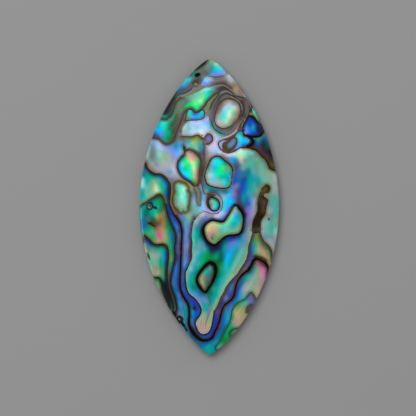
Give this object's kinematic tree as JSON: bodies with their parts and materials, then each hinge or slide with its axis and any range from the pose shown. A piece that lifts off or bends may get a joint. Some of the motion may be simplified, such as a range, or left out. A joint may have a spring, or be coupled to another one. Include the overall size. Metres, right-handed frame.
{
  "type": "abalone shell cabochon",
  "caption": "Marquise-shaped cabochon of polished abalone shell with a low crown, straight side and flat back, for setting in jewellery or inlay.",
  "frame": {"origin": "middle of the flat ground back, which the stone lies on", "axes": "+Y along the stone's length to its blunter tip, +Z out of the polished face, +X to the stone's right as it is looked down on"},
  "size_m": [0.0198, 0.042, 0.0032],
  "materials": {
    "nacre": "polished"
  },
  "bodies": {
    "root": {"shell_cabochon": "nacre"}
  },
  "joints": []
}
